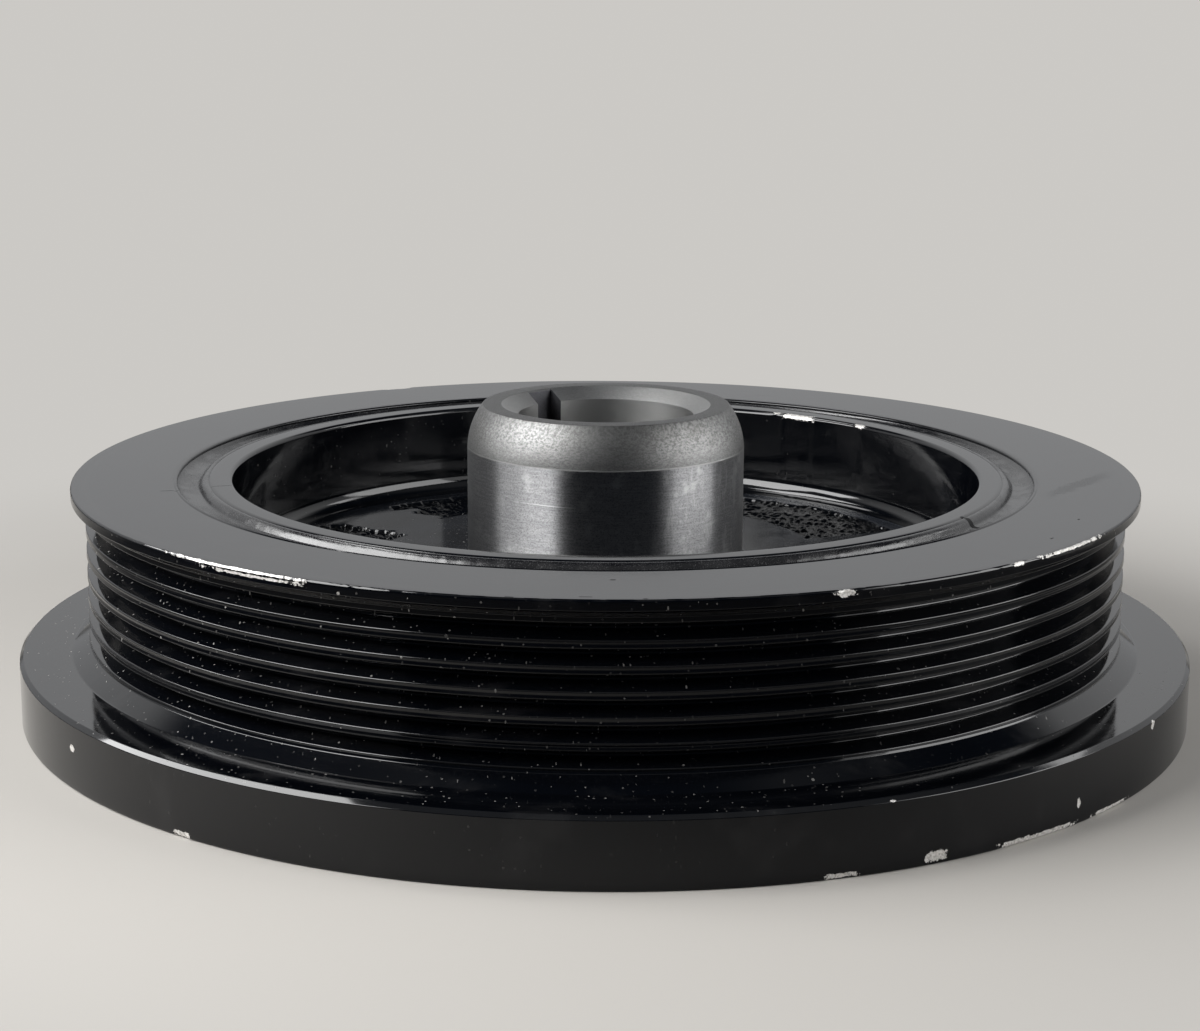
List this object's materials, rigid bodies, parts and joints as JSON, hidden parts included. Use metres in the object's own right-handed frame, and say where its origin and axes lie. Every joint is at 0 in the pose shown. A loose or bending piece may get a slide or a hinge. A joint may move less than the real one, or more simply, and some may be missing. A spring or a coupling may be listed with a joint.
{
  "type": "harmonic balancer",
  "caption": "Crankshaft harmonic balancer: a grooved iron pulley ring bonded by a rubber ring to a cast hub with a keyed, ground nose.",
  "frame": {"origin": "centre of the pulley's front face, on the crankshaft axis, where the balancer lies on a table", "axes": "+Z along the crankshaft axis towards the engine, out of the hub's nose"},
  "size_m": [0.1892, 0.1892, 0.048],
  "materials": {
    "hub_metal": "gloss black paint on the rim and web, bare turned steel-grey nose",
    "rubber": "ragged, painted over",
    "pulley_metal": "gloss black paint"
  },
  "bodies": {
    "root": {"hub": "hub_metal", "rubber_ring": "rubber", "pulley_ring": "pulley_metal"}
  },
  "joints": []
}
